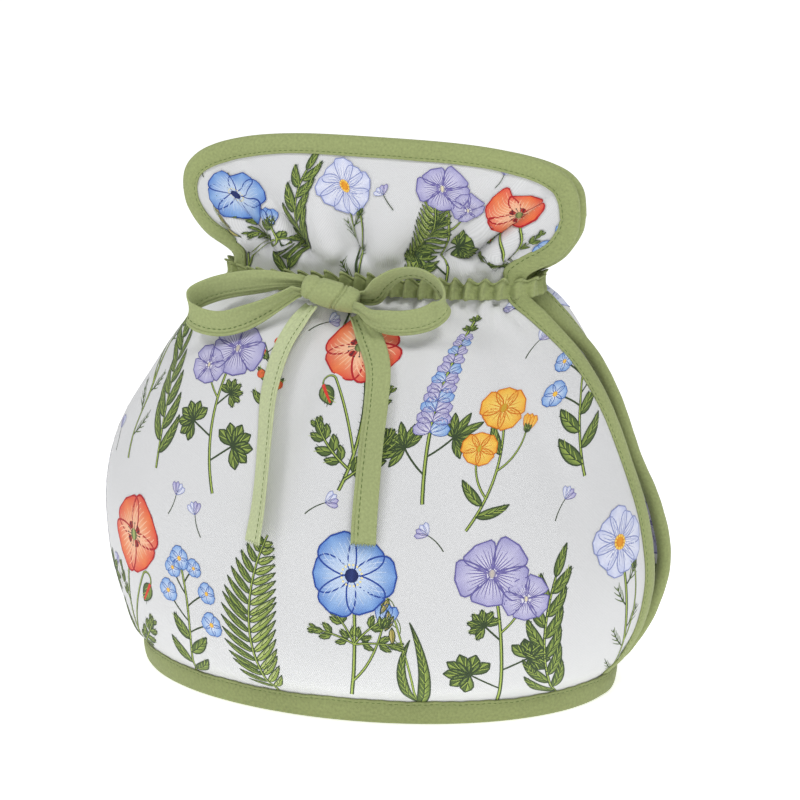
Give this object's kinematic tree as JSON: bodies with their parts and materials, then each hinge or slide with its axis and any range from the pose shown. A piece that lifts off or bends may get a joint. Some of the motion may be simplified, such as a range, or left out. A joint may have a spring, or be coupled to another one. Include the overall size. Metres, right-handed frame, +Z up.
{
  "type": "tea cosy",
  "caption": "Padded cotton muff tea cosy, gathered at the neck under an open frill, with a tied bow, bound edges, a bound hem and slits for spout and handle.",
  "frame": {"origin": "middle of the part's box, on the surface that the hem rests on", "axes": "+X towards the handle side and -X towards the spout side, -Y towards the front with the bow, +Z up through the frill"},
  "size_m": [0.239, 0.1816, 0.2269],
  "materials": {
    "panel_cotton": "matt printed cotton twill, off-white with wild flowers in blue, orange, yellow and green",
    "binding_cotton": "matt plain cotton, sage green, cut on the bias",
    "tie_cotton": "matt plain cotton tape, pale sage green, stitched along one edge"
  },
  "bodies": {
    "root": {"front_panel": "panel_cotton", "back_panel": "panel_cotton", "front_binding": "binding_cotton", "back_binding": "binding_cotton", "hem_band": "binding_cotton", "neck_casing": "binding_cotton", "tie_knot": "tie_cotton", "tie_loop_left": "tie_cotton", "tie_loop_right": "tie_cotton", "tie_tail_left": "tie_cotton", "tie_tail_right": "tie_cotton"}
  },
  "joints": []
}
